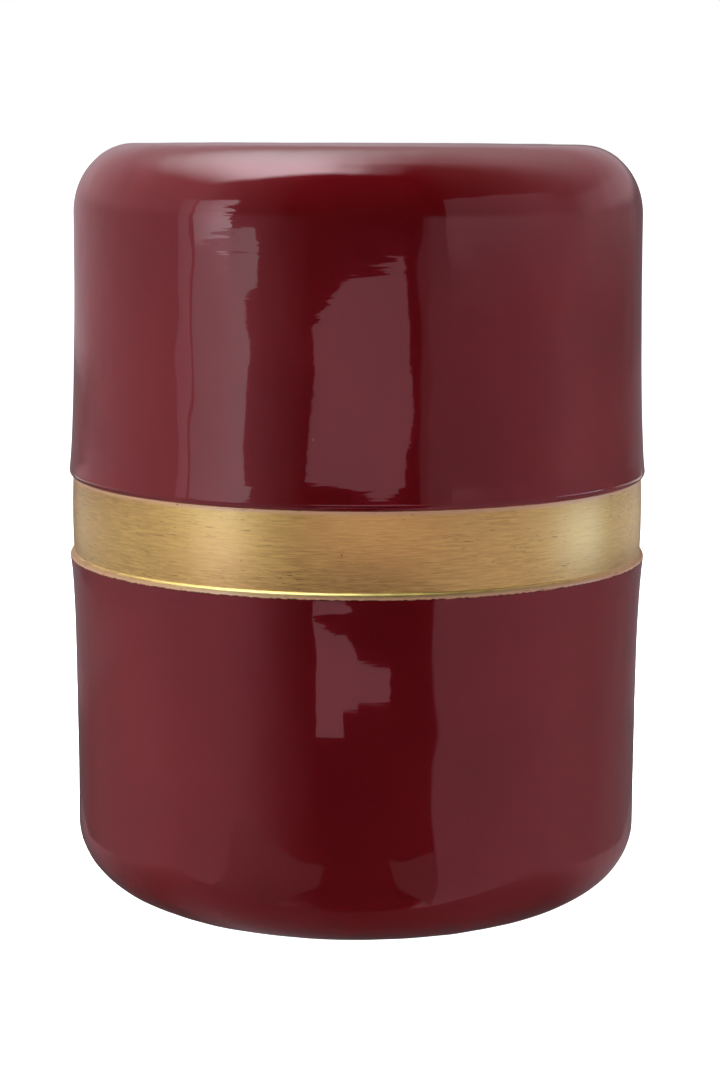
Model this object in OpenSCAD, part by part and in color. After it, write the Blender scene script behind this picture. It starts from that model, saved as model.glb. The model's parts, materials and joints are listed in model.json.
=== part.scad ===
// Drum side table: two enamelled steel shells held together over a recessed brass-coloured sleeve.
// Millimetres, +Z up. The origin is on the floor, on the drum's axis.

/* [Overall] */
// Height from the floor to the top face
total_h = 450; // [430:5:480]
// Largest diameter, over either lip
lip_d = 343; // [335:1:360]
// Gap between the floor and the body's rim
foot_gap = 3; // [3:0.5:5]

/* [Shells] */
// Thickness of the spun steel sheet
sheet_t = 1.2; // [1:0.1:1.3]
// Height of the upper lip's widest circle
upper_lip_z = 259; // [255:0.5:270]
// Height of the lower lip's widest circle
lower_lip_z = 207.5; // [200:0.5:212]
// Radius of the curl that turns each lip in to the band
lip_curl = 4; // [3.5:0.5:10]
// How much the top shell's wall draws in above its lip
top_flare = 4.1; // [3:0.1:5]
// Height over which most of that drawing in happens
top_flare_len = 45; // [40:1:60]
// How much the bottom shell's wall draws in below its lip
bottom_flare = 3.3; // [2.5:0.1:4]
// Height over which most of that drawing in happens
bottom_flare_len = 35; // [35:1:60]
// How far the top's rounded shoulder reaches in towards the axis
shoulder_w = 35.6; // [25:0.1:40]
// Height of that shoulder
shoulder_h = 40.9; // [30:0.1:45]
// How far the rounded corner at the bottom reaches in towards the axis
base_corner_w = 54; // [48:0.1:58]
// Height of that corner
base_corner_h = 43.4; // [35:0.1:50]

/* [Band] */
// How far the band's edge is set back from the lips
band_recess = 2.3; // [2:0.1:3]
// How far the middle of the band stands out from its edges
band_crown = 0.5; // [0:0.1:1]
// Sheet thickness of the sleeve
band_t = 1.5; // [1:0.1:2]
// How far the sleeve reaches past each lip's widest circle, inside the shell
band_tuck = 12; // [8:1:13]

/* [Top stiffener] */
// Thickness of the foam damping pad under the top
pad_t = 2; // [1:0.5:4]
// Thickness of the fibreboard disc
top_board_t = 12; // [9:1:18]
// Radius of the fibreboard disc
top_board_r = 120; // [90:5:125]

/* [Inner fasteners] */
// Number of tie bolts, each with its own pair of lugs
tie_count = 4; // [3:1:6]
// Radius of the circle that the tie bolts stand on
tie_circle_r = 155; // [152:1:157]
// Thickness of the lugs' steel
lug_t = 2.5; // [2:0.5:4]
// Width of each lug
lug_w = 30; // [20:1:40]
// Height of each lug's welded leg
lug_leg = 24; // [16:1:40]
// Radius of the lugs' inner edge
lug_tip_r = 145; // [140:1:146]

/* [Base] */
// Depth of the recess in the bottom shell, from its rim up to the shelf
base_recess = 13; // [13:0.5:20]
// Inner radius of the bottom shell's flat rim
rim_in_r = 106; // [106:0.5:108]
// Radius of the opening inside the shelf
opening_r = 88; // [84:1:88]
// Thickness of the base board
base_board_t = 9; // [8:0.5:10]
// Thickness of the felt ring between board and shelf
gasket_t = 1; // [0.5:0.5:1]
// Number of screws that hold the base board
base_screw_count = 4; // [3:1:8]
// Radius of the circle that those screws stand on
base_screw_circle_r = 94.5; // [94:0.1:95]

/* [Feet] */
// Number of rubber feet
foot_count = 4; // [3:1:6]
// Radius of the circle that the feet stand on
foot_circle_r = 82; // [40:1:84]
// Radius of a foot where it meets the board
foot_r = 12; // [9:0.5:14]

/* [Hidden] */
$fn = 96;

enamel = [0.36, 0.07, 0.08];
brass = [0.72, 0.56, 0.34];
steel = [0.62, 0.63, 0.65];
fibreboard = [0.60, 0.47, 0.33];
rubber = [0.10, 0.10, 0.10];
felt = [0.25, 0.25, 0.26];

// Overshoot of a cutter past the face that it cuts
over = 1;
// Straight pieces in each stretch of the shells' outline
lip_steps = 5;
wall_steps = 9;
corner_steps = 9;
bend_steps = 4;
band_steps = 10;
// Wall points crowd towards the lip, where the wall curves most
wall_bunching = 1.7;

lip_r = lip_d / 2;
band_r = lip_r - band_recess;
curl_centre_r = lip_r - lip_curl;
// Height from a lip's widest circle to where its curl meets the band
curl_end = lip_curl * sin(acos((band_r - curl_centre_r) / lip_curl));

top_wall = total_h - upper_lip_z - shoulder_h;
bottom_wall = lower_lip_z - foot_gap - base_corner_h;

// Bends between the bottom shell's rim and its shelf
bend_r = 3;
shelf_z = foot_gap + base_recess;
board_top_z = shelf_z - gasket_t;
board_z = board_top_z - base_board_t;
board_r = rim_in_r - bend_r - 1.5;

// M6 tie bolts and their nuts
tie_r = 3;
tie_hole_r = 3.3;
tie_washer_r = 6;
tie_washer_t = 1.2;
tie_hex_r = 5.77;
tie_head_h = 4;
tie_nut_h = 5;
tie_tail = 2;
tie_top_z = upper_lip_z + band_tuck + lug_t + tie_nut_h;
tie_seat_z = lower_lip_z - band_tuck - lug_t;

// M4 screws, washers and rivet nuts
m4_r = 2;
m4_hole_r = 2.3;
m4_head_r = 4;
m4_head_h = 2.2;
m4_len = 16;
m4_slot = [0.9, 4.6, 1.1];
washer_r = 5.5;
washer_t = 0.8;
rivet_body_r = 3;
rivet_flange_r = 4.5;
rivet_flange_t = 0.8;
rivet_bulge_h = 2.3;
rivet_len = 9.8;
gasket_hole_r = 4.7;

// Recess under each foot for its washer and screw
foot_recess_r = 6;
foot_recess_h = 4;
foot_taper = 1;
foot_screw_len = 10.5;
foot_screw_tip = 2;

// Radius of a shell's wall at a distance along the axis from its lip
function wall_r(along, flare, flare_len) = lip_r - flare * (1 - exp(-along / flare_len));

// Curl from the band's surface out to the lip's widest circle, on the skin set in by inset
function lip_points(inset) =
    let (curl = lip_curl - inset, end = acos((band_r - curl_centre_r) / curl))
    [for (i = [0:lip_steps])
        let (a = -end * (1 - i / lip_steps))
        [curl_centre_r + curl * cos(a), curl * sin(a)]];

// Wall from the lip to the rounded corner
function wall_points(inset, length, flare, flare_len) =
    [for (i = [1:wall_steps])
        let (along = length * pow(i / wall_steps, wall_bunching))
        [wall_r(along, flare, flare_len) - inset, along]];

// Rounded corner, w across and h high, that turns the wall in towards the axis
function corner_points(inset, length, end_r, w, h) =
    [for (i = [1:corner_steps])
        let (a = 90 * i / corner_steps)
        [end_r - w + (w - inset) * cos(a), length + (h - inset) * sin(a)]];

// Arc of a bend in the sheet, from one angle to another
function bend_points(centre, radius, from, to) =
    [for (i = [0:bend_steps])
        let (a = from + (to - from) * i / bend_steps)
        [centre[0] + radius * cos(a), centre[1] + radius * sin(a)]];

// One skin of the top shell, from the lip to the axis, measured up from the lip
function top_skin(inset) = concat(
    lip_points(inset),
    wall_points(inset, top_wall, top_flare, top_flare_len),
    corner_points(inset, top_wall, wall_r(top_wall, top_flare, top_flare_len), shoulder_w, shoulder_h),
    [[0, top_wall + shoulder_h - inset]]
);

// One skin of the bottom shell, from the lip to the opening, measured down from the lip
function bottom_skin(inset) =
    let (
        rim = bottom_wall + base_corner_h,
        shelf = rim - base_recess,
        end_r = wall_r(bottom_wall, bottom_flare, bottom_flare_len)
    )
    concat(
        lip_points(inset),
        wall_points(inset, bottom_wall, bottom_flare, bottom_flare_len),
        corner_points(inset, bottom_wall, end_r, base_corner_w, base_corner_h),
        bend_points([rim_in_r, rim - bend_r], bend_r - inset, 90, 180),
        bend_points([rim_in_r - 2 * bend_r, shelf + bend_r], bend_r + inset, 0, -90),
        [[opening_r, shelf - inset]]
    );

function reversed(points) = [for (i = [len(points) - 1:-1:0]) points[i]];

// Places children on a circle, count of them, the first at angle start
module ring(count, circle_r, start = 0) {
    for (i = [0:count - 1])
        rotate([0, 0, start + 360 * i / count])
            translate([circle_r, 0, 0])
                children();
}

// Turns a half that is drawn away from its lip into place
module above_band() {
    translate([0, 0, upper_lip_z])
        children();
}

module below_band() {
    translate([0, 0, lower_lip_z])
        mirror([0, 0, 1])
            children();
}

module top_shell() {
    color(enamel)
        above_band()
            rotate_extrude()
                polygon(concat(top_skin(0), reversed(top_skin(sheet_t))));
}

module bottom_shell() {
    color(enamel)
        difference() {
            below_band()
                rotate_extrude()
                    polygon(concat(bottom_skin(0), reversed(bottom_skin(sheet_t))));
            ring(base_screw_count, base_screw_circle_r)
                translate([0, 0, shelf_z - over])
                    cylinder(h = sheet_t + 2 * over, r = rivet_body_r);
        }
}

// Sleeve: straight where it is tucked into the shells, crowned where it shows
module waist_band() {
    low = lower_lip_z + curl_end;
    high = upper_lip_z - curl_end;
    bottom = lower_lip_z - band_tuck;
    top = upper_lip_z + band_tuck;
    crown = [for (i = [0:band_steps])
        let (u = 2 * i / band_steps - 1)
        [band_r + band_crown * (1 - u * u), (low + high) / 2 + u * (high - low) / 2]];
    color(brass)
        rotate_extrude()
            polygon(concat(
                [[band_r - band_t, bottom], [band_r, bottom]],
                crown,
                [[band_r, top], [band_r - band_t, top]]
            ));
}

module damping_pad() {
    color(felt)
        translate([0, 0, total_h - sheet_t - pad_t])
            cylinder(h = pad_t, r = top_board_r - 2);
}

module top_board() {
    color(fibreboard)
        translate([0, 0, total_h - sheet_t - pad_t - top_board_t])
            cylinder(h = top_board_t, r = top_board_r);
}

// Bent lug: one leg follows the shell's inner skin, the other lies on the sleeve's end
module lug(skin, angle) {
    foot_s = band_tuck;
    rotate([0, 0, angle])
        difference() {
            intersection() {
                rotate_extrude()
                    intersection() {
                        polygon(concat(skin, [[0, 0]]));
                        difference() {
                            translate([lug_tip_r, foot_s])
                                square([lip_r - lug_tip_r, lug_leg]);
                            translate([lug_tip_r - over, foot_s + lug_t])
                                square([over + leg_inner_r(skin, foot_s) - lug_tip_r, lug_leg]);
                        }
                    }
                translate([0, -lug_w / 2, foot_s])
                    cube([lip_r, lug_w, lug_leg]);
            }
            translate([tie_circle_r, 0, foot_s - over])
                cylinder(h = lug_t + 2 * over, r = tie_hole_r);
        }
}

// Inner face of a lug's upright leg: the narrowest skin radius that it spans, less its thickness
function leg_inner_r(skin, foot_s) =
    min([for (p = skin) if (p[1] < foot_s + lug_leg + lug_t && p[1] > 0) p[0]]) - lug_t;

function tie_angle(i) = 360 * (i - 0.5) / tie_count;

module upper_lug(i) {
    color(steel)
        above_band()
            lug(top_skin(sheet_t), tie_angle(i));
}

module lower_lug(i) {
    color(steel)
        below_band()
            lug(bottom_skin(sheet_t), tie_angle(i));
}

module tie_bolts() {
    head_z = tie_seat_z - tie_washer_t;
    color(steel)
        ring(tie_count, tie_circle_r, tie_angle(1)) {
            translate([0, 0, head_z - tie_head_h])
                cylinder(h = tie_head_h, r = tie_hex_r, $fn = 6);
            translate([0, 0, head_z])
                cylinder(h = tie_top_z + tie_tail - head_z, r = tie_r);
        }
}

module tie_washers() {
    color(steel)
        ring(tie_count, tie_circle_r, tie_angle(1))
            translate([0, 0, tie_seat_z - tie_washer_t])
                difference() {
                    cylinder(h = tie_washer_t, r = tie_washer_r);
                    translate([0, 0, -over])
                        cylinder(h = tie_washer_t + 2 * over, r = tie_hole_r);
                }
}

module weld_nuts() {
    color(steel)
        ring(tie_count, tie_circle_r, tie_angle(1))
            translate([0, 0, tie_top_z - tie_nut_h])
                difference() {
                    cylinder(h = tie_nut_h, r = tie_hex_r, $fn = 6);
                    translate([0, 0, -over])
                        cylinder(h = tie_nut_h + 2 * over, r = tie_r);
                }
}

module base_board() {
    color(fibreboard)
        difference() {
            translate([0, 0, board_z])
                cylinder(h = base_board_t, r = board_r);
            ring(base_screw_count, base_screw_circle_r)
                translate([0, 0, board_z - over])
                    cylinder(h = base_board_t + 2 * over, r = m4_hole_r);
            ring(foot_count, foot_circle_r, foot_angle(1))
                foot_screw_shank();
        }
}

module base_gasket() {
    color(felt)
        difference() {
            translate([0, 0, board_top_z])
                cylinder(h = gasket_t, r = rim_in_r - 2 * bend_r);
            translate([0, 0, board_top_z - over])
                cylinder(h = gasket_t + 2 * over, r = opening_r);
            ring(base_screw_count, base_screw_circle_r)
                translate([0, 0, board_top_z - over])
                    cylinder(h = gasket_t + 2 * over, r = gasket_hole_r);
        }
}

// Cross-slotted pan head, its seat at z = 0 and its top pointing down
module pan_head() {
    difference() {
        translate([0, 0, -m4_head_h])
            cylinder(h = m4_head_h, r1 = m4_head_r * 0.8, r2 = m4_head_r);
        for (turn = [0, 90])
            rotate([0, 0, turn])
                translate([-m4_slot[0] / 2, -m4_slot[1] / 2, -m4_head_h - over])
                    cube([m4_slot[0], m4_slot[1], m4_slot[2] + over]);
    }
}

module base_screws() {
    color(steel)
        ring(base_screw_count, base_screw_circle_r)
            translate([0, 0, board_z]) {
                pan_head();
                cylinder(h = m4_len, r = m4_r);
            }
}

module rivet_nuts() {
    color(steel)
        ring(base_screw_count, base_screw_circle_r)
            difference() {
                union() {
                    translate([0, 0, shelf_z - rivet_flange_t])
                        cylinder(h = rivet_flange_t, r = rivet_flange_r);
                    translate([0, 0, shelf_z - rivet_flange_t])
                        cylinder(h = rivet_len, r = rivet_body_r);
                    translate([0, 0, shelf_z + sheet_t])
                        cylinder(h = rivet_bulge_h, r1 = rivet_flange_r, r2 = rivet_body_r);
                }
                translate([0, 0, shelf_z - rivet_flange_t - over])
                    cylinder(h = rivet_len + 2 * over, r = m4_r);
            }
}

function foot_angle(i) = 360 * (i - 0.5) / foot_count;

module foot(i) {
    color(rubber)
        rotate([0, 0, foot_angle(i)])
            translate([foot_circle_r, 0, 0])
                difference() {
                    cylinder(h = board_z, r1 = foot_r - foot_taper, r2 = foot_r);
                    translate([0, 0, -over])
                        cylinder(h = foot_recess_h + over, r = foot_recess_r);
                    cylinder(h = board_z + over, r = m4_hole_r);
                }
}

module foot_washers() {
    color(steel)
        ring(foot_count, foot_circle_r, foot_angle(1))
            translate([0, 0, foot_recess_h - washer_t])
                difference() {
                    cylinder(h = washer_t, r = washer_r);
                    translate([0, 0, -over])
                        cylinder(h = washer_t + 2 * over, r = m4_hole_r);
                }
}

// Shank with a tapered tip, from the washer up into the board
module foot_screw_shank() {
    seat_z = foot_recess_h - washer_t;
    translate([0, 0, seat_z])
        cylinder(h = foot_screw_len - foot_screw_tip, r = m4_r);
    translate([0, 0, seat_z + foot_screw_len - foot_screw_tip])
        cylinder(h = foot_screw_tip, r1 = m4_r, r2 = m4_r / 4);
}

module foot_screws() {
    color(steel)
        ring(foot_count, foot_circle_r, foot_angle(1)) {
            translate([0, 0, foot_recess_h - washer_t])
                pan_head();
            foot_screw_shank();
        }
}

top_shell();
bottom_shell();
waist_band();
damping_pad();
top_board();
for (i = [1:tie_count]) {
    upper_lug(i);
    lower_lug(i);
}
tie_bolts();
tie_washers();
weld_nuts();
base_board();
base_gasket();
base_screws();
rivet_nuts();
for (i = [1:foot_count])
    foot(i);
foot_washers();
foot_screws();
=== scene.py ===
"""Looks of a drum side table: two burgundy enamelled shells over a recessed, brushed gold band."""

import json
import math

import bmesh
import bpy
from mathutils import Matrix, Vector, noise


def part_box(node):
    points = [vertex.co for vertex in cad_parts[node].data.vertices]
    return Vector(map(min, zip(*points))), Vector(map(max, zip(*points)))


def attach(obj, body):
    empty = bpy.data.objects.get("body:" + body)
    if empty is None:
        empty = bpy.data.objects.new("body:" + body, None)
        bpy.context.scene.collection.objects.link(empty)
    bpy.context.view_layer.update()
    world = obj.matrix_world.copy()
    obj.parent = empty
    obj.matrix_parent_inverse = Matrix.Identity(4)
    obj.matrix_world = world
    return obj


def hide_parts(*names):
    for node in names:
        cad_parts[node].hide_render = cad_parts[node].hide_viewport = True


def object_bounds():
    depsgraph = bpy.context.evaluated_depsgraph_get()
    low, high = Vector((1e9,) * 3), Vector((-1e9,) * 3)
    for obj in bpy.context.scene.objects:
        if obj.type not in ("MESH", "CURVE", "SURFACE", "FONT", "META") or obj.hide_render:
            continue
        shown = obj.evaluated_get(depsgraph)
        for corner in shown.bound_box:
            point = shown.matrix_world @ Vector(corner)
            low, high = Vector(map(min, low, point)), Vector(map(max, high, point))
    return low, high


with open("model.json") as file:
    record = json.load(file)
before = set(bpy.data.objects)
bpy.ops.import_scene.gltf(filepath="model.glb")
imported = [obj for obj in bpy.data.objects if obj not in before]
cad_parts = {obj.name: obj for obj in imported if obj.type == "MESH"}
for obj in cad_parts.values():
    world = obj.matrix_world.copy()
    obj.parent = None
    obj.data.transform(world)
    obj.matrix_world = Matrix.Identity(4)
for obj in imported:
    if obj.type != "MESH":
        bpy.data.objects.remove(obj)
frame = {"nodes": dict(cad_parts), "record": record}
cad_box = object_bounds()

MM = 0.001

# Outline of the shells, the same design as the CAD's
CURL = 4 * MM
SHEET = 1.2 * MM
CROWN = 0.5 * MM
BAND_SHEET = 1.5 * MM
TOP_FLARE = (4.1 * MM, 45 * MM)
BOTTOM_FLARE = (3.3 * MM, 35 * MM)
SHOULDER = (35.6 * MM, 40.9 * MM)
BASE_CORNER = (54 * MM, 43.4 * MM)
RIM_IN = 106 * MM
BEND = 3 * MM
OPENING = 88 * MM

top_low, top_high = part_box("top_shell")
bottom_low, bottom_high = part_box("bottom_shell")
band_low, band_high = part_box("waist_band")
lip_r = top_high.x
band_r = band_high.x - CROWN
curl_end = math.sqrt(CURL**2 - (CURL - lip_r + band_r) ** 2)
upper_lip_z = top_low.z + curl_end
lower_lip_z = bottom_high.z - curl_end
shelf_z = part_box("base_gasket")[1].z
middle_z = (cad_box[0].z + cad_box[1].z) / 2

# Tints of the light that the gloss shows
WHITE = (1.0, 1.0, 1.0)
WARM = (1.4, 1.0, 1.08)
MILD = (1.15, 1.0, 1.08)
PALE_BLUE = (0.87, 1.0, 1.02)
PALE_CYAN = (0.78, 1.0, 1.0)
COOL = (0.85, 1.05, 1.4)
AMBER = (1.1, 1.0, 0.9)
BLUSH = (1.05, 1.0, 1.25)

# Paints: the two shades each one wanders between
ENAMEL_SHADES = ((0.036, 0.0006, 0.0012), (0.042, 0.0009, 0.0016))
ENAMEL_ROUGH = 0.12
GOLD_SHADES = ((0.62, 0.38, 0.08), (0.90, 0.62, 0.165))
GOLD_CLOUD = (0.76, 0.49, 0.13)
# Painted highlight: cream gold that stands in for the bright line the curls mirror along the gold edges
GOLD_PAINTED_HIGHLIGHT = (1.0, 0.67, 0.43)
SCRATCH_BROWN = (0.09, 0.05, 0.02)
SEAM_BROWN = (0.012, 0.002, 0.002)
DUST = (0.35, 0.20, 0.18)

# How finely the lathe-turned pieces are cut: facets round the drum, share of the points that an inner skin
# keeps, and the angle beyond which an edge is sharp
AROUND = 384
INNER_SHARE = 0.3
SHARP = math.radians(35)

# Unevenness of the hand-finished sheet: depth, and size of a dent around and along the drum
DENT_DEPTH = 0.5 * MM
DENT_AROUND = 28 * MM
DENT_ALONG = 55 * MM

# Where the gold paint ends on each shell's curl, above its band-side edge, and how ragged that edge is
UPPER_GOLD_Z = top_low.z + 0.3 * MM
LOWER_GOLD_Z = lower_lip_z - 0.1 * MM
GOLD_RAGGED = 0.5 * MM

# Width of the dark nicks along that edge
SEAM = 0.5 * MM

# Painted highlight: width of the paler, cream gold next to the enamel along each gold edge, standing in for
# the bright line that the curls mirror
PAINTED_HIGHLIGHT_WIDTH = 3 * MM


# ---------------------------------------------------------------- helpers


def new_object(name, mesh, material):
    """Turns a bmesh into an object of the scene, and frees it."""
    data = bpy.data.meshes.new(name)
    mesh.to_mesh(data)
    mesh.free()
    data.materials.append(material)
    made = bpy.data.objects.new(name, data)
    bpy.context.collection.objects.link(made)
    return made


def new_material(name):
    """An empty node material with its Principled shader."""
    material = bpy.data.materials.new(name)
    material.use_nodes = True
    shader = material.node_tree.nodes["Principled BSDF"]
    return material, material.node_tree, shader


def plug(tree, target, value):
    """Links a socket to an input, or sets the input's own value."""
    if isinstance(value, bpy.types.NodeSocket):
        tree.links.new(value, target)
    elif isinstance(value, tuple) and len(value) == 3 and target.type == "RGBA":
        target.default_value = (*value, 1)
    else:
        target.default_value = value


def add(tree, kind, settings=None, **inputs):
    """Adds a node. Inputs are named as in Blender, with _ for a space."""
    node = tree.nodes.new(kind)
    for key, value in (settings or {}).items():
        setattr(node, key, value)
    for key, value in inputs.items():
        plug(tree, node.inputs[key.replace("_", " ")], value)
    return node


def calc(tree, operation, a, b=0.0):
    node = tree.nodes.new("ShaderNodeMath")
    node.operation = operation
    plug(tree, node.inputs[0], a)
    plug(tree, node.inputs[1], b)
    return node.outputs[0]


def between(tree, value, low, high, out_low=0.0, out_high=1.0, kind="SMOOTHSTEP"):
    """Maps low..high to out_low..out_high, smoothly unless told otherwise, and holds the ends."""
    node = add(tree, "ShaderNodeMapRange", {"interpolation_type": kind}, Value=value)
    for name, number in (("From Min", low), ("From Max", high), ("To Min", out_low), ("To Max", out_high)):
        node.inputs[name].default_value = number
    return node.outputs["Result"]


def mix_colour(tree, factor, a, b, blend="MIX"):
    node = add(tree, "ShaderNodeMix", {"data_type": "RGBA", "blend_type": blend})
    plug(tree, node.inputs[0], factor)
    plug(tree, node.inputs[6], a)
    plug(tree, node.inputs[7], b)
    return node.outputs[2]


def mix_value(tree, factor, a, b):
    node = add(tree, "ShaderNodeMix", {"data_type": "FLOAT"})
    plug(tree, node.inputs[0], factor)
    plug(tree, node.inputs[2], a)
    plug(tree, node.inputs[3], b)
    return node.outputs[0]


def place(tree):
    """Position on the object, in metres."""
    return add(tree, "ShaderNodeTexCoord").outputs["Object"]


def grain(tree, size, detail=2.0, roughness=0.5, offset=0.0):
    """Noise from 0 to 1 whose features are size = (x, y, z) metres long."""
    mapping = add(tree, "ShaderNodeMapping", Vector=place(tree))
    mapping.inputs["Location"].default_value = (offset, offset, offset)
    mapping.inputs["Scale"].default_value = [1 / s for s in size]
    texture = add(tree, "ShaderNodeTexNoise", Vector=mapping.outputs[0], Scale=1.0)
    texture.inputs["Detail"].default_value = detail
    texture.inputs["Roughness"].default_value = roughness
    return texture.outputs["Fac"]


def bump(tree, height, depth, normal=None):
    """Bump whose height runs from 0 to 1 over depth metres."""
    node = add(tree, "ShaderNodeBump", Height=height, Strength=1.0, Distance=depth)
    if normal:
        plug(tree, node.inputs["Normal"], normal)
    return node.outputs["Normal"]


# ---------------------------------------------------------------- materials


def scratches(tree):
    """Mask of short dark scratches that run around the drum, in loose groups."""
    lines = between(tree, grain(tree, (7 * MM, 7 * MM, 0.4 * MM), 2.0), 0.62, 0.72)
    groups = between(tree, grain(tree, (40 * MM, 40 * MM, 14 * MM), 1.0, offset=3.0), 0.42, 0.58)
    return calc(tree, "MULTIPLY", lines, groups)


def specks(tree, cell, size, share):
    """Mask of small round specks: one in each of a share of the cells."""
    cells = add(tree, "ShaderNodeTexVoronoi", {"feature": "F1"}, Vector=place(tree), Scale=1 / cell)
    dot = between(tree, cells.outputs["Distance"], size / cell, 0.5 * size / cell)
    pick = add(tree, "ShaderNodeSeparateColor", Color=cells.outputs["Color"]).outputs[0]
    return calc(tree, "MULTIPLY", dot, calc(tree, "LESS_THAN", pick, share))


def height_on(tree):
    return add(tree, "ShaderNodeSeparateXYZ", Vector=place(tree)).outputs["Z"]


def near(tree, value, target, width):
    """1 where a value is close to a target, falling to 0 at a width from it."""
    gap = calc(tree, "ABSOLUTE", calc(tree, "SUBTRACT", value, target))
    return between(tree, gap, 0.3 * width, width, 1.0, 0.0)


def gold_look(tree):
    """Colour, roughness, brush height and gloss of the gold paint, as sockets."""
    brush = grain(tree, (13 * MM, 13 * MM, 0.9 * MM), 4.0, 0.65)
    cloud = grain(tree, (30 * MM, 30 * MM, 12 * MM), 2.0, offset=7.0)
    colour = mix_colour(tree, between(tree, brush, 0.32, 0.68), *GOLD_SHADES)
    colour = mix_colour(tree, between(tree, cloud, 0.35, 0.7, 0.0, 0.5), colour, GOLD_CLOUD)
    # Painted highlight: the gold turns paler and creamier near each gold edge to stand in for the bright line
    # the curls mirror; these bands are also made rougher
    highlight_rims = near(tree, height_on(tree), UPPER_GOLD_Z, PAINTED_HIGHLIGHT_WIDTH)
    highlight_rims = calc(tree, "MAXIMUM", highlight_rims, near(tree, height_on(tree), LOWER_GOLD_Z, PAINTED_HIGHLIGHT_WIDTH))
    colour = mix_colour(tree, calc(tree, "MULTIPLY", highlight_rims, 0.75), colour, GOLD_PAINTED_HIGHLIGHT)
    marks = calc(tree, "MAXIMUM", scratches(tree), specks(tree, 9 * MM, 0.7 * MM, 0.12))
    colour = mix_colour(tree, calc(tree, "MULTIPLY", marks, 0.8), colour, SCRATCH_BROWN)
    rough = between(tree, brush, 0.25, 0.75, 0.30, 0.42)
    rough = calc(tree, "ADD", rough, calc(tree, "MULTIPLY", highlight_rims, 0.24))
    gloss = calc(tree, "SUBTRACT", 1.0, calc(tree, "MULTIPLY", marks, 0.4))
    return colour, rough, brush, gloss


def gold_band():
    material, tree, shader = new_material("brushed_gold")
    colour, rough, brush, gloss = gold_look(tree)
    plug(tree, shader.inputs["Base Color"], colour)
    plug(tree, shader.inputs["Roughness"], rough)
    plug(tree, shader.inputs["Normal"], bump(tree, brush, 0.02 * MM))
    plug(tree, shader.inputs["Tangent"], add(tree, "ShaderNodeTangent", {"axis": "Z"}).outputs[0])
    shader.inputs["Metallic"].default_value = 1.0
    shader.inputs["Anisotropic"].default_value = 0.6
    plug(tree, shader.inputs["Coat Weight"], gloss)
    shader.inputs["Coat Roughness"].default_value = 0.3
    shader.inputs["Coat IOR"].default_value = 1.8
    return material


def painted_shell():
    """Burgundy enamel under a clear gloss, with gold paint carried over the curls next to the band."""
    material, tree, shader = new_material("burgundy_enamel")
    ragged = grain(tree, (5 * MM, 5 * MM, 5 * MM), 4.0, 0.65)
    shift = calc(tree, "MULTIPLY", calc(tree, "SUBTRACT", ragged, 0.5), 2 * GOLD_RAGGED)
    level = calc(tree, "ADD", height_on(tree), shift)
    below_upper = calc(tree, "LESS_THAN", level, UPPER_GOLD_Z)
    above_lower = calc(tree, "GREATER_THAN", level, LOWER_GOLD_Z)
    gold = calc(tree, "MULTIPLY", below_upper, above_lower)

    cloud = grain(tree, (60 * MM, 60 * MM, 90 * MM), 2.0)
    patchy = between(tree, cloud, 0.3, 0.7)
    red = mix_colour(tree, patchy, *ENAMEL_SHADES)
    dust = specks(tree, 24 * MM, 0.5 * MM, 0.10)
    red = mix_colour(tree, calc(tree, "MULTIPLY", dust, 0.6), red, DUST)
    gold_colour, gold_rough, _, _ = gold_look(tree)
    colour = mix_colour(tree, gold, red, gold_colour)
    nicks = between(tree, grain(tree, (2.5 * MM, 2.5 * MM, 2.5 * MM), 3.0, offset=4.0), 0.44, 0.56)
    upper_seam = near(tree, level, UPPER_GOLD_Z + 0.5 * SEAM, 1.6 * SEAM)
    lower_seam = calc(tree, "MULTIPLY", near(tree, level, LOWER_GOLD_Z, SEAM), nicks)
    upper_seam = calc(tree, "MULTIPLY", upper_seam, 0.25)
    lower_seam = calc(tree, "MULTIPLY", lower_seam, 0.9)
    seams = calc(tree, "MAXIMUM", upper_seam, lower_seam)
    plug(tree, shader.inputs["Base Color"], mix_colour(tree, seams, colour, SEAM_BROWN))
    plug(tree, shader.inputs["Metallic"], gold)
    plug(tree, shader.inputs["Roughness"], mix_value(tree, gold, ENAMEL_ROUGH, gold_rough))
    plug(tree, shader.inputs["Coat Weight"], calc(tree, "SUBTRACT", 1.0, seams))
    shader.inputs["Coat Roughness"].default_value = 0.02
    shader.inputs["Specular Tint"].default_value = (1.0, 0.1, 0.22, 1)

    ridges = grain(tree, (26 * MM, 26 * MM, 5 * MM), 2.0, 0.5)
    turned = bump(tree, ridges, 0.026 * MM)
    plug(tree, shader.inputs["Normal"], bump(tree, gold, 0.05 * MM, turned))
    plug(tree, shader.inputs["Coat Normal"], turned)
    return material


def zinc_steel():
    """Zinc-plated steel with cloudy patches."""
    material, tree, shader = new_material("zinc_steel")
    cloud = grain(tree, (3 * MM, 3 * MM, 3 * MM), 4.0, 0.6)
    colour = mix_colour(tree, between(tree, cloud, 0.3, 0.7), (0.42, 0.44, 0.48), (0.68, 0.68, 0.66))
    plug(tree, shader.inputs["Base Color"], colour)
    plug(tree, shader.inputs["Roughness"], between(tree, cloud, 0.3, 0.7, 0.28, 0.45))
    plug(tree, shader.inputs["Normal"], bump(tree, cloud, 0.01 * MM))
    shader.inputs["Metallic"].default_value = 1.0
    return material


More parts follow.
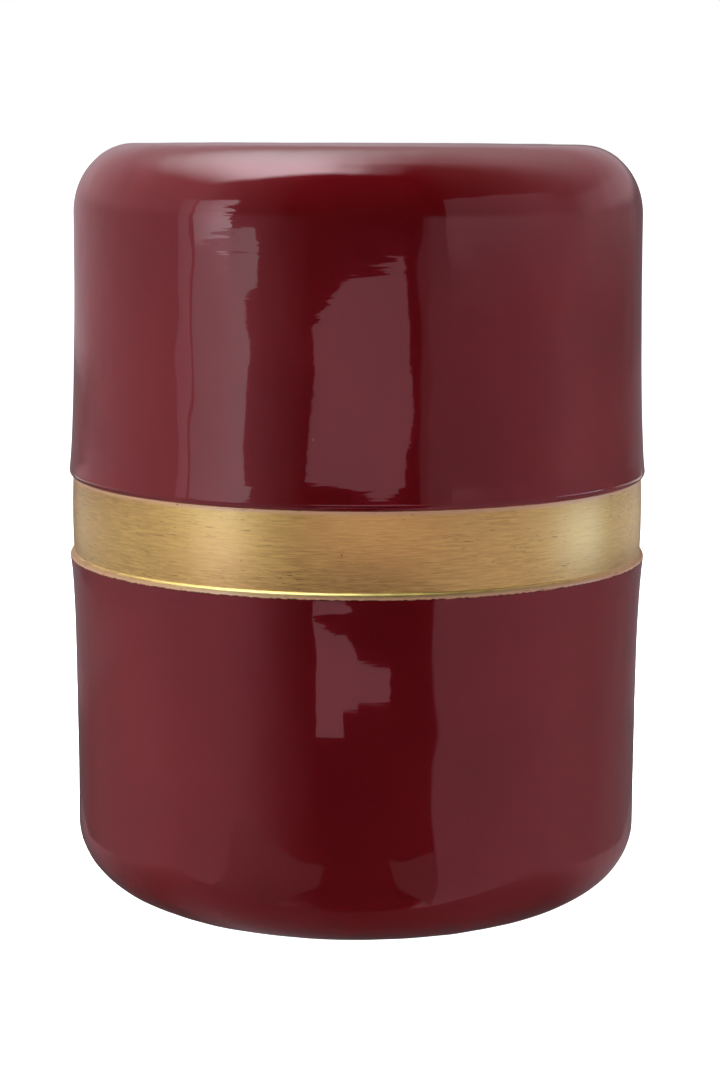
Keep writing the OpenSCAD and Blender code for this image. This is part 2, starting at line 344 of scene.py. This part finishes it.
def fibreboard():
    """Brown fibreboard: fine fibres lying flat in the sheet."""
    material, tree, shader = new_material("fibreboard")
    fibres = grain(tree, (1.2 * MM, 1.2 * MM, 0.4 * MM), 5.0, 0.7)
    cloud = grain(tree, (25 * MM, 25 * MM, 25 * MM), 2.0, offset=2.0)
    colour = mix_colour(tree, between(tree, fibres, 0.3, 0.75), (0.17, 0.10, 0.05), (0.36, 0.24, 0.13))
    colour = mix_colour(tree, calc(tree, "MULTIPLY", cloud, 0.4), colour, (0.26, 0.17, 0.09))
    plug(tree, shader.inputs["Base Color"], colour)
    plug(tree, shader.inputs["Roughness"], between(tree, fibres, 0.2, 0.8, 0.75, 0.92))
    plug(tree, shader.inputs["Normal"], bump(tree, fibres, 0.08 * MM))
    return material


def rubber():
    """Black moulded rubber with a fine matt grain."""
    material, tree, shader = new_material("black_rubber")
    texture = grain(tree, (0.6 * MM, 0.6 * MM, 0.6 * MM), 3.0)
    colour = mix_colour(tree, texture, (0.012, 0.012, 0.013), (0.035, 0.034, 0.033))
    plug(tree, shader.inputs["Base Color"], colour)
    plug(tree, shader.inputs["Roughness"], between(tree, texture, 0.2, 0.8, 0.6, 0.8))
    plug(tree, shader.inputs["Normal"], bump(tree, texture, 0.03 * MM))
    return material


def felt():
    """Dark grey felt: tangled fibres with a soft sheen."""
    material, tree, shader = new_material("grey_felt")
    fibres = grain(tree, (0.5 * MM, 0.5 * MM, 0.5 * MM), 6.0, 0.75)
    colour = mix_colour(tree, fibres, (0.025, 0.025, 0.028), (0.12, 0.12, 0.13))
    plug(tree, shader.inputs["Base Color"], colour)
    plug(tree, shader.inputs["Normal"], bump(tree, fibres, 0.2 * MM))
    plug(tree, shader.inputs["Roughness"], between(tree, fibres, 0.2, 0.8, 0.85, 0.98))
    shader.inputs["Sheen Weight"].default_value = 0.3
    return material


def foam():
    """Dark closed-cell foam."""
    material, tree, shader = new_material("dark_foam")
    cells = add(tree, "ShaderNodeTexVoronoi", Vector=place(tree), Scale=1 / (1.1 * MM)).outputs["Distance"]
    colour = mix_colour(tree, cells, (0.03, 0.03, 0.03), (0.12, 0.12, 0.12))
    plug(tree, shader.inputs["Base Color"], colour)
    plug(tree, shader.inputs["Roughness"], between(tree, cells, 0.0, 0.7, 0.7, 0.9))
    plug(tree, shader.inputs["Normal"], bump(tree, cells, 0.15 * MM))
    return material


# ---------------------------------------------------------------- shells and band


def lip(inset, steps):
    """Curl from the band's surface out to the widest circle, as (radius, distance from that circle)."""
    centre = lip_r - CURL
    curl = CURL - inset
    end = math.acos((band_r - centre) / curl)
    angles = [-end * (1 - i / steps) for i in range(steps + 1)]
    return [(centre + curl * math.cos(a), curl * math.sin(a)) for a in angles]


def wall(inset, length, flare, steps):
    """Wall that draws in, fast near the lip and then hardly at all."""
    alongs = [length * (i / steps) ** 1.3 for i in range(1, steps + 1)]
    return [(lip_r - inset - flare[0] * (1 - math.exp(-s / flare[1])), s) for s in alongs]


def arc(centre, radii, start, end, steps):
    """Quarter ellipse or bend about a centre, without its first point."""
    angles = [math.radians(start + (end - start) * i / steps) for i in range(1, steps + 1)]
    return [(centre[0] + radii[0] * math.cos(a), centre[1] + radii[1] * math.sin(a)) for a in angles]


def side(inset, length, flare, corner, share):
    """Lip, wall and rounded corner of one skin, measured away from the band."""
    points = lip(inset, max(4, round(10 * share)))
    points += wall(inset, length, flare, round(72 * share))
    centre = (points[-1][0] + inset - corner[0], length)
    points += arc(centre, (corner[0] - inset, corner[1] - inset), 0, 90, round(40 * share))
    return points


def top_skin(inset, share):
    """From the lip to the axis, as (radius, height)."""
    length = top_high.z - upper_lip_z - SHOULDER[1]
    points = side(inset, length, TOP_FLARE, SHOULDER, share)
    edge, level = points[-1]
    steps = round(12 * share)
    points += [(edge * (1 - i / steps), level) for i in range(1, steps + 1)]
    return [(r, upper_lip_z + s) for r, s in points]


def bottom_skin(inset, share):
    """From the lip round the rim to the opening in the shelf, as (radius, height)."""
    rim = lower_lip_z - bottom_low.z
    shelf = lower_lip_z - shelf_z
    points = side(inset, rim - BASE_CORNER[1], BOTTOM_FLARE, BASE_CORNER, share)
    points += arc((RIM_IN, rim - BEND), (BEND - inset, BEND - inset), 90, 180, 6)
    points += arc((RIM_IN - 2 * BEND, shelf + BEND), (BEND + inset, BEND + inset), 0, -90, 6)
    points += [(OPENING, shelf - inset)]
    return [(r, lower_lip_z - s) for r, s in points]


def band_outline():
    """Closed outline of the sleeve: straight where it is tucked in, crowned where it shows."""
    low, high = lower_lip_z + curl_end, upper_lip_z - curl_end
    middle, half = (low + high) / 2, (high - low) / 2
    us = [i / 16 - 1 for i in range(33)]
    face = [(band_r + CROWN * (1 - u * u), middle + u * half) for u in us]
    inner = band_r - BAND_SHEET
    return [(inner, band_low.z), (band_r, band_low.z), *face, (band_r, band_high.z), (inner, band_high.z)]


def dent(point):
    """How far the hand-finished sheet lies below its true surface at a point."""
    where = Vector((point.x / DENT_AROUND, point.y / DENT_AROUND, point.z / DENT_ALONG))
    rough = noise.noise(where) + 0.4 * noise.noise(where * 2.3 + Vector((5, 3, 8)))
    return DENT_DEPTH * min(1, max(0, 0.5 + 0.5 * rough))


def turn(name, outline, outer, material, closed):
    """Turns an outline of (radius, height) about the axis.

    The first `outer` points are the skin that shows, and get dents that fade out towards its first point.
    """
    mesh = bmesh.new()
    rings = []
    for i, (radius, height) in enumerate(outline):
        if radius < 1e-6:
            rings.append([mesh.verts.new((0, 0, height))])
            continue
        inward = Vector((0, 0))
        if i < outer:
            (r0, z0), (r1, z1) = outline[max(0, i - 1)], outline[min(outer - 1, i + 1)]
            inward = Vector((z0 - z1, r1 - r0)).normalized()
            if inward.dot(Vector((radius, height - middle_z))) > 0:
                inward = -inward
            inward *= min(1, abs(height - outline[0][1]) / (12 * MM))
        ring = []
        for k in range(AROUND):
            angle = 2 * math.pi * k / AROUND
            spot = Vector((radius * math.cos(angle), radius * math.sin(angle), height))
            depth = dent(spot) if i < outer else 0
            reach = radius + inward.x * depth
            spot = (reach * math.cos(angle), reach * math.sin(angle), height + inward.y * depth)
            ring.append(mesh.verts.new(spot))
        rings.append(ring)
    for a, b in zip(rings, rings[1:] + rings[:1] if closed else rings[1:]):
        join_rings(mesh, a, b)
    bmesh.ops.recalc_face_normals(mesh, faces=mesh.faces)
    for face in mesh.faces:
        face.smooth = True
    for edge in mesh.edges:
        edge.smooth = edge.calc_face_angle(0) < SHARP
    return new_object(name, mesh, material)


def join_rings(mesh, a, b):
    """Faces between two neighbouring rings, either of which may be a single point on the axis."""
    if len(a) == 1 and len(b) == 1:
        return
    for k in range(AROUND):
        n = (k + 1) % AROUND
        corners = [a[k % len(a)], a[n % len(a)], b[n % len(b)], b[k % len(b)]]
        mesh.faces.new(list(dict.fromkeys(corners)))


def paint_lip(piece, gold):
    """Gives the faces between the ragged edges of the gold paint the band's own material."""
    piece.data.materials.append(gold)
    for face in piece.data.polygons:
        heights = [piece.data.vertices[i].co.z for i in face.vertices]
        if LOWER_GOLD_Z + GOLD_RAGGED < min(heights) and max(heights) < UPPER_GOLD_Z - GOLD_RAGGED:
            face.material_index = 1


def make_shells(enamel, gold):
    for name, skin in (("top_shell", top_skin), ("bottom_shell", bottom_skin)):
        outer = skin(0, 1)
        inner = skin(SHEET, INNER_SHARE)
        piece = turn(name + "_skin", outer + inner[::-1], len(outer), enamel, True)
        paint_lip(piece, gold)
        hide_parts(name)
        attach(piece, "root")
    band = turn("waist_band_skin", band_outline(), 0, gold, True)
    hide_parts("waist_band")
    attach(band, "root")


def finish_inner_parts():
    """The CAD's own nodes keep their shape and get their materials by the record's slots."""
    made = {
        "zinc_steel": zinc_steel(),
        "fibreboard": fibreboard(),
        "rubber": rubber(),
        "felt": felt(),
        "foam": foam(),
    }
    for part in frame["record"]["subparts"]:
        material = made.get(part["material_slot"])
        if material:
            for slot in frame["nodes"][part["node"]].material_slots:
                slot.material = material


# ---------------------------------------------------------------- studio


def around(azimuth, distance, height):
    """A point at an azimuth in degrees: 0 is in front, towards the camera, and 90 is to its right."""
    a = math.radians(azimuth)
    return (distance * math.sin(a), -distance * math.cos(a), height)


def card(name, points, levels, tint=WHITE, fades=(0, 0, 0, 0), wander=(0, 0), pitch=0.05, parts=1):
    """Card of light that only the gloss shows.

    points are its corners: low left, low right, high right, high left, and levels their brightness.
    fades are the shares of its width and height over which it dims to its left, right, low and high edges:
    a card that fades is a glow, added to what is behind it. Its left and right edges wander by two
    distances, with teeth of a pitch.
    """
    p00, p10, p11, p01 = [Vector(p) for p in points]
    l00, l10, l11, l01 = levels
    across = (p10 - p00).normalized()
    columns = parts if any(fades) else 1
    mesh = bmesh.new()
    shade = mesh.verts.layers.float_color.new("level")
    grid = []
    for j in range(parts + 1):
        v = j / parts
        row = []
        for i in range(columns + 1):
            u = i / columns
            spot = (p00.lerp(p10, u)).lerp(p01.lerp(p11, u), v)
            spot += across * uneven(spot, pitch) * (wander[0] * (i == 0) + wander[1] * (i == columns))
            vert = mesh.verts.new(spot)
            level = (l00 * (1 - u) + l10 * u) * (1 - v) + (l01 * (1 - u) + l11 * u) * v
            level *= ease(u, fades[0]) * ease(1 - u, fades[1]) * ease(v, fades[2]) * ease(1 - v, fades[3])
            vert[shade] = (*[level * t for t in tint], 1)
            row.append(vert)
        grid.append(row)
    for j in range(parts):
        for i in range(columns):
            mesh.faces.new((grid[j][i], grid[j][i + 1], grid[j + 1][i + 1], grid[j + 1][i]))
    obj = new_object(name, mesh, card_light(name, any(fades)))
    obj.visible_camera = False
    obj.visible_diffuse = False
    obj.visible_shadow = False


def card_light(name, see_through):
    """Emission by the card's own levels. A see-through one adds to what is behind it."""
    material = bpy.data.materials.new(name)
    material.use_nodes = True
    tree = material.node_tree
    tree.nodes.clear()
    shades = add(tree, "ShaderNodeVertexColor", {"layer_name": "level"})
    glow = add(tree, "ShaderNodeEmission", Color=shades.outputs[0])
    if see_through:
        clear = add(tree, "ShaderNodeBsdfTransparent")
        both = tree.nodes.new("ShaderNodeAddShader")
        tree.links.new(glow.outputs[0], both.inputs[0])
        tree.links.new(clear.outputs[0], both.inputs[1])
        glow = both
    out = tree.nodes.new("ShaderNodeOutputMaterial")
    tree.links.new(glow.outputs[0], out.inputs["Surface"])
    return material


def uneven(spot, pitch):
    """Slow wander with ragged teeth of a given pitch in it, from about -1 to 1."""
    total = 0
    for size, share in ((2.5, 0.9), (0.8, 0.9), (0.3, 0.5)):
        total += share * noise.noise(Vector((spot.x * 3, spot.y * 3, spot.z / (size * pitch))))
    return total


def ease(share, width):
    """0 at an edge and 1 beyond a width from it, with a smooth rise."""
    if width <= 0:
        return 1
    t = min(1, share / width)
    return t * t * (3 - 2 * t)


def standing_card(name, distance, left, right, heights, levels, tint=WHITE, fades=(0, 0, 0, 0),
                  wander=(0, 0), pitch=0.05, lean=0):
    """Upright card between two azimuths, with heights low, top left and top right.

    Its right edge leans: its foot is further to the right by some degrees. levels are as for a card, or
    only left and right.
    """
    low, top_left, top_right = heights
    points = [
        around(left, distance, low), around(right + lean, distance, low),
        around(right, distance, top_right), around(left, distance, top_left),
    ]
    if len(levels) == 2:
        levels = (levels[0], levels[1], levels[1], levels[0])
    parts = 120 if any(wander) else 32 if any(fades) else 1
    card(name, points, levels, tint, fades, wander, pitch, parts)


def direction_ramp(tree, azimuth, stops):
    """Brightness by azimuth, from given (degrees, level) stops."""
    node = add(tree, "ShaderNodeValToRGB", Fac=between(tree, azimuth, -math.pi, math.pi, kind="LINEAR"))
    elements = node.color_ramp.elements
    while len(elements) < len(stops):
        elements.new(0.5)
    for element, (degrees, level) in zip(elements, stops):
        element.position = (degrees + 180) / 360
        element.color = (level, level, level, 1)
    return node.outputs[0]


# How far the cards stand from the table's axis, and the heights of those that only the band mirrors
FAR = 1.6
BESIDE = 0.8
CLOSE = 0.3
BAND_HEIGHTS = (0.09, 0.19, 0.19)
CEILING_Z = 2.4

# Brightness of the middle panels, far and close, left and right
PANEL = (0.71, 0.71)
LOW_PANEL = (0.68, 0.68)

# Brightness of the room by azimuth, from the floor up: the floor, what the band mirrors, table height, above
# it, and overhead
ROOM_FLOOR = [
    (-180, 0.07), (-140, 0.09), (-112, 0.23), (-90, 0.39), (-60, 0.46), (-46, 0.41), (-38, 0.27),
    (-28, 0.12), (-18, 0.03), (24, 0.02), (31, 0.03), (31.5, 0.41), (60, 0.40), (90, 0.33),
    (112, 0.18), (140, 0.12), (180, 0.07),
]
ROOM_BAND = [
    (-180, 0.14), (-140, 0.14), (-112, 0.27), (-90, 0.42), (-60, 0.45), (-40, 0.43), (-20, 0.38),
    (-10, 0.13), (10, 0.13), (20, 0.27), (30, 0.50), (80, 0.56), (90, 0.36), (112, 0.19), (140, 0.12),
    (180, 0.14),
]
ROOM_LOW = [
    (-180, 0.28), (-125, 0.31), (-100, 0.37), (-75, 0.46), (-46, 0.41), (-38, 0.29), (-28, 0.14),
    (-18, 0.03), (24, 0.02), (24.5, 0.20), (27.5, 0.20), (28, 0.31), (60, 0.33), (90, 0.35),
    (112, 0.19), (130, 0.10), (170, 0.10), (180, 0.28),
]
ROOM_MIDDLE = [
    (-180, 0.30), (-150, 0.37), (-110, 0.45), (-68, 0.60), (-60, 0.44), (-46, 0.22), (-25, 0.03),
    (35, 0.02), (65, 0.15), (90, 0.26), (118, 0.30), (140, 0.29), (180, 0.30),
]
ROOM_HIGH = [
    (-180, 0.75), (-150, 0.70), (-115, 0.66), (-80, 0.50), (-60, 0.27), (-25, 0.04), (30, 0.02),
    (65, 0.15), (85, 0.20), (100, 0.42), (120, 0.78), (145, 0.80), (165, 0.75), (180, 0.75),
]
# How warm that light is, as shares of the full tint
ROOM_WARMTH = [
    (-180, 0.80), (-140, 0.80), (-100, 0.50), (75, 0.40), (100, 0.60), (140, 0.80), (180, 0.80),
]
ROOM_TINT = (1.5, 1.0, 1.08)

# What matt surfaces get from the room
AMBIENT = 0.15


def make_room():
    """World: what the gloss shows of a pale studio.

    The camera sees plain white, and matt surfaces get an even light.
    """
    world = bpy.data.worlds.new("studio")
    world.use_nodes = True
    bpy.context.scene.world = world
    tree = world.node_tree
    direction = add(tree, "ShaderNodeTexCoord").outputs["Generated"]
    parts = add(tree, "ShaderNodeSeparateXYZ", Vector=direction)
    azimuth = calc(tree, "ARCTAN2", parts.outputs["X"], calc(tree, "MULTIPLY", parts.outputs["Y"], -1.0))
    up = calc(tree, "ARCSINE", parts.outputs["Z"])
    floor = direction_ramp(tree, azimuth, ROOM_FLOOR)
    beside = direction_ramp(tree, azimuth, ROOM_BAND)
    low = direction_ramp(tree, azimuth, ROOM_LOW)
    middle = direction_ramp(tree, azimuth, ROOM_MIDDLE)
    high = direction_ramp(tree, azimuth, ROOM_HIGH)
    room = mix_colour(tree, between(tree, up, math.radians(-13), math.radians(-12)), floor, beside)
    room = mix_colour(tree, between(tree, up, math.radians(-5), math.radians(-4)), room, low)
    room = mix_colour(tree, between(tree, up, math.radians(3), math.radians(10)), room, middle)
    warmth = direction_ramp(tree, azimuth, ROOM_WARMTH)
    warmth = between(tree, warmth, 0.0, 1.0, 1.0, ROOM_TINT[0], kind="LINEAR")
    tint = add(tree, "ShaderNodeCombineColor", Red=warmth, Green=1.0, Blue=ROOM_TINT[2])
    room = mix_colour(tree, 1.0, room, tint.outputs[0], "MULTIPLY")
    room = mix_colour(tree, between(tree, up, math.radians(25), math.radians(62)), room, high)
    ray = add(tree, "ShaderNodeLightPath").outputs
    seen = mix_colour(tree, ray["Is Glossy Ray"], (AMBIENT, AMBIENT, AMBIENT), room)
    seen = mix_colour(tree, ray["Is Camera Ray"], seen, (1.0, 1.0, 1.0))
    plug(tree, tree.nodes["Background"].inputs["Color"], seen)


def softbox(name, position, size, level):
    """Area light that faces the table, with a given brightness. The gloss shows cards in its place."""
    data = bpy.data.lights.new(name, "AREA")
    data.shape = "RECTANGLE"
    data.size, data.size_y = size
    data.energy = level * math.pi * size[0] * size[1]
    data.spread = math.radians(80)
    obj = bpy.data.objects.new(name, data)
    obj.location = position
    aim = Vector((0, 0, middle_z)) - obj.location
    obj.rotation_euler = aim.to_track_quat("-Z", "Y").to_euler()
    obj.visible_glossy = False
    bpy.context.collection.objects.link(obj)


def make_floor():
    """Wide pale floor, clear from below. The gloss shows the floor cards in its place."""
    material, tree, shader = new_material("pale_floor")
    speckle = grain(tree, (6 * MM, 6 * MM, 6 * MM), 3.0)
    plug(tree, shader.inputs["Base Color"], mix_colour(tree, speckle, (0.50, 0.50, 0.50), (0.54, 0.54, 0.54)))
    shader.inputs["Roughness"].default_value = 0.9
    shader.inputs["Specular IOR Level"].default_value = 0.1
    shader.inputs["Emission Color"].default_value = (1, 1, 1, 1)
    shader.inputs["Emission Strength"].default_value = 1.35
    below = add(tree, "ShaderNodeNewGeometry").outputs["Backfacing"]
    seen = add(tree, "ShaderNodeLightPath").outputs["Is Camera Ray"]
    clear = add(tree, "ShaderNodeBsdfTransparent").outputs[0]
    surface = add(tree, "ShaderNodeMixShader")
    plug(tree, surface.inputs[0], calc(tree, "MULTIPLY", below, seen))
    plug(tree, surface.inputs[1], shader.outputs[0])
    plug(tree, surface.inputs[2], clear)
    plug(tree, tree.nodes["Material Output"].inputs["Surface"], surface.outputs[0])
    mesh = bmesh.new()
    bmesh.ops.create_circle(mesh, cap_ends=True, segments=96, radius=40)
    floor = new_object("floor", mesh, material)
    floor.visible_glossy = False


def floor_card(name, corners, levels, tint=WHITE):
    """Patch of floor as the gloss shows it, from (x, y) corners."""
    card(name, [(x, y, 0.5 * MM) for x, y in corners], levels, tint)


def make_panels():
    """Tall panels in front of the table, each as its azimuths, its heights, its brightness and its tint."""
    standing_card("left_strip", FAR, -71.2, -66.0, (0, 0.98, 1.0), (0.76, 0.92), MILD, wander=(0.01, 0.01))
    standing_card("front_left", FAR, -64.6, -42.3, (0, 0.35, 0.35), (0.75, 1.35, 1.7, 1.1), PALE_BLUE,
                  wander=(0.01, 0.13))
    standing_card("front_left_top", FAR, -64.6, -48.6, (0.35, 1.0, 1.1), (1.6, 3.5, 2.4, 1.3), PALE_BLUE,
                  wander=(0.01, 0.13))
    standing_card("front_low", FAR, -0.4, 16.4, (0, 0.324, 0.333), (0.71, 0.68), WARM,
                  wander=(0, 0.07), lean=17)
    standing_card("front_low_middle", FAR, -9.4, -0.4, (0, 0.305, 0.324), PANEL, WARM)
    standing_card("front_low_left", FAR, -16.4, -9.4, (0, 0.275, 0.305), PANEL, WARM,
                  wander=(0.08, 0))
    standing_card("front_right", FAR, 34.3, 92, (0.28, 1.17, 1.17), (0.3, 0.1, 0.25, 0.35), MILD,
                  (0, 0.4, 0.12, 0), (0.02, 0))
    standing_card("right_glow", FAR, 84, 150, (0.28, 1.0, 1.0), (0.18, 0.05, 0.05, 0.15), MILD,
                  (0.3, 0.3, 0.15, 0.2))
    ceiling = [(x, y, CEILING_Z) for x, y in ((-2.5, -1.0), (0.5, -1.0), (0.5, 2.6), (-2.5, 2.6))]
    card("ceiling", ceiling, (7, 7, 0.8, 0.8), PALE_CYAN, (0.6, 0.35, 0.08, 0.9), parts=32)


def make_band_cards():
    """Low cards at the height that only the band mirrors."""
    standing_card("band_left", BESIDE, -58, -42, BAND_HEIGHTS, (1.55, 2.15), BLUSH)
    standing_card("band_left_edge", BESIDE, -140, -58, BAND_HEIGHTS, (0.6, 0.5), AMBER)
    standing_card("band_right", BESIDE, 76, 102, BAND_HEIGHTS, (1.5, 1.8), COOL)
    standing_card("band_right_edge", BESIDE, 112, 145, BAND_HEIGHTS, (0.7, 0.6), AMBER)


def make_low_cards():
    """What the lower shell mirrors: a stepped panel close by, and the floor."""
    standing_card("low_panel_left", CLOSE, -11.6, -3.4, (0.096, 0.152, 0.150), LOW_PANEL, WARM,
                  wander=(0.002, 0), pitch=0.005)
    standing_card("low_panel_inner", CLOSE, -3.4, -1.3, (0.113, 0.150, 0.147), LOW_PANEL, WARM)
    standing_card("low_panel_middle", CLOSE, -1.3, 1.0, (0.113, 0.147, 0.139), LOW_PANEL, WARM)
    standing_card("low_panel_right", CLOSE, 1.0, 9.3, (0.117, 0.139, 0.134), LOW_PANEL, WARM,
                  wander=(0, 0.005), pitch=0.005)
    floor_card("floor_front_left", [(-0.26, -0.18), (0, -0.18), (0, -0.1), (-0.13, -0.1)],
               (0.36, 0.07, 0.04, 0.05), WARM)
    floor_card("floor_front_right", [(0, -0.18), (0.26, -0.18), (0.13, -0.1), (0, -0.1)],
               (0.07, 0.36, 0.05, 0.04), WARM)
    floor_card("floor_left_side", [(-0.26, 0.2), (-0.26, -0.18), (-0.13, -0.1), (-0.13, 0.1)],
               (0.12, 0.36, 0.05, 0.05), WARM)
    floor_card("floor_right_side", [(0.26, -0.18), (0.26, 0.2), (0.13, 0.1), (0.13, -0.1)],
               (0.36, 0.12, 0.05, 0.05), WARM)
    floor_card("floor_inner", [(-0.13, 0.1), (-0.13, -0.1), (0.13, -0.1), (0.13, 0.1)], (0.05,) * 4, WARM)
    floor_card("floor_left", [(-0.3, -0.36), (-0.06, -0.36), (-0.06, -0.18), (-0.15, -0.18)],
               (0.4, 0.18, 0.18, 0.3))
    floor_card("floor_right", [(0.06, -0.36), (0.17, -0.36), (0.058, -0.18), (0.058, -0.18)], (0.2,) * 4)


def make_studio():
    make_room()
    make_floor()
    make_panels()
    make_band_cards()
    make_low_cards()
    softbox("overhead_softbox", (-0.4, -0.2, CEILING_Z), (1.6, 1.6), 6.5)
    softbox("left_softbox", (-1.9, 0.2, 0.4), (0.9, 0.9), 7.3)
    softbox("right_softbox", (1.9, 0.2, 0.4), (0.9, 0.9), 6.5)


def make_camera():
    """Standing height, a step back, looking slightly down, with a long lens."""
    data = bpy.data.cameras.new("camera")
    data.sensor_width = 36
    data.lens = 88.92
    camera = bpy.data.objects.new("camera", data)
    camera.location = (0, -1.5864, 0.4596)
    pitch, yaw, roll = math.radians(8.801), math.radians(0.066), math.radians(0.24)
    turned = Matrix.Rotation(-yaw, 3, "Z") @ Matrix.Rotation(math.pi / 2 - pitch, 3, "X")
    camera.rotation_euler = (turned @ Matrix.Rotation(roll, 3, "Z")).to_euler()
    bpy.context.collection.objects.link(camera)
    bpy.context.scene.camera = camera
    bpy.context.scene.view_settings.view_transform = "Standard"


make_shells(painted_shell(), gold_band())
finish_inner_parts()
make_studio()
make_camera()
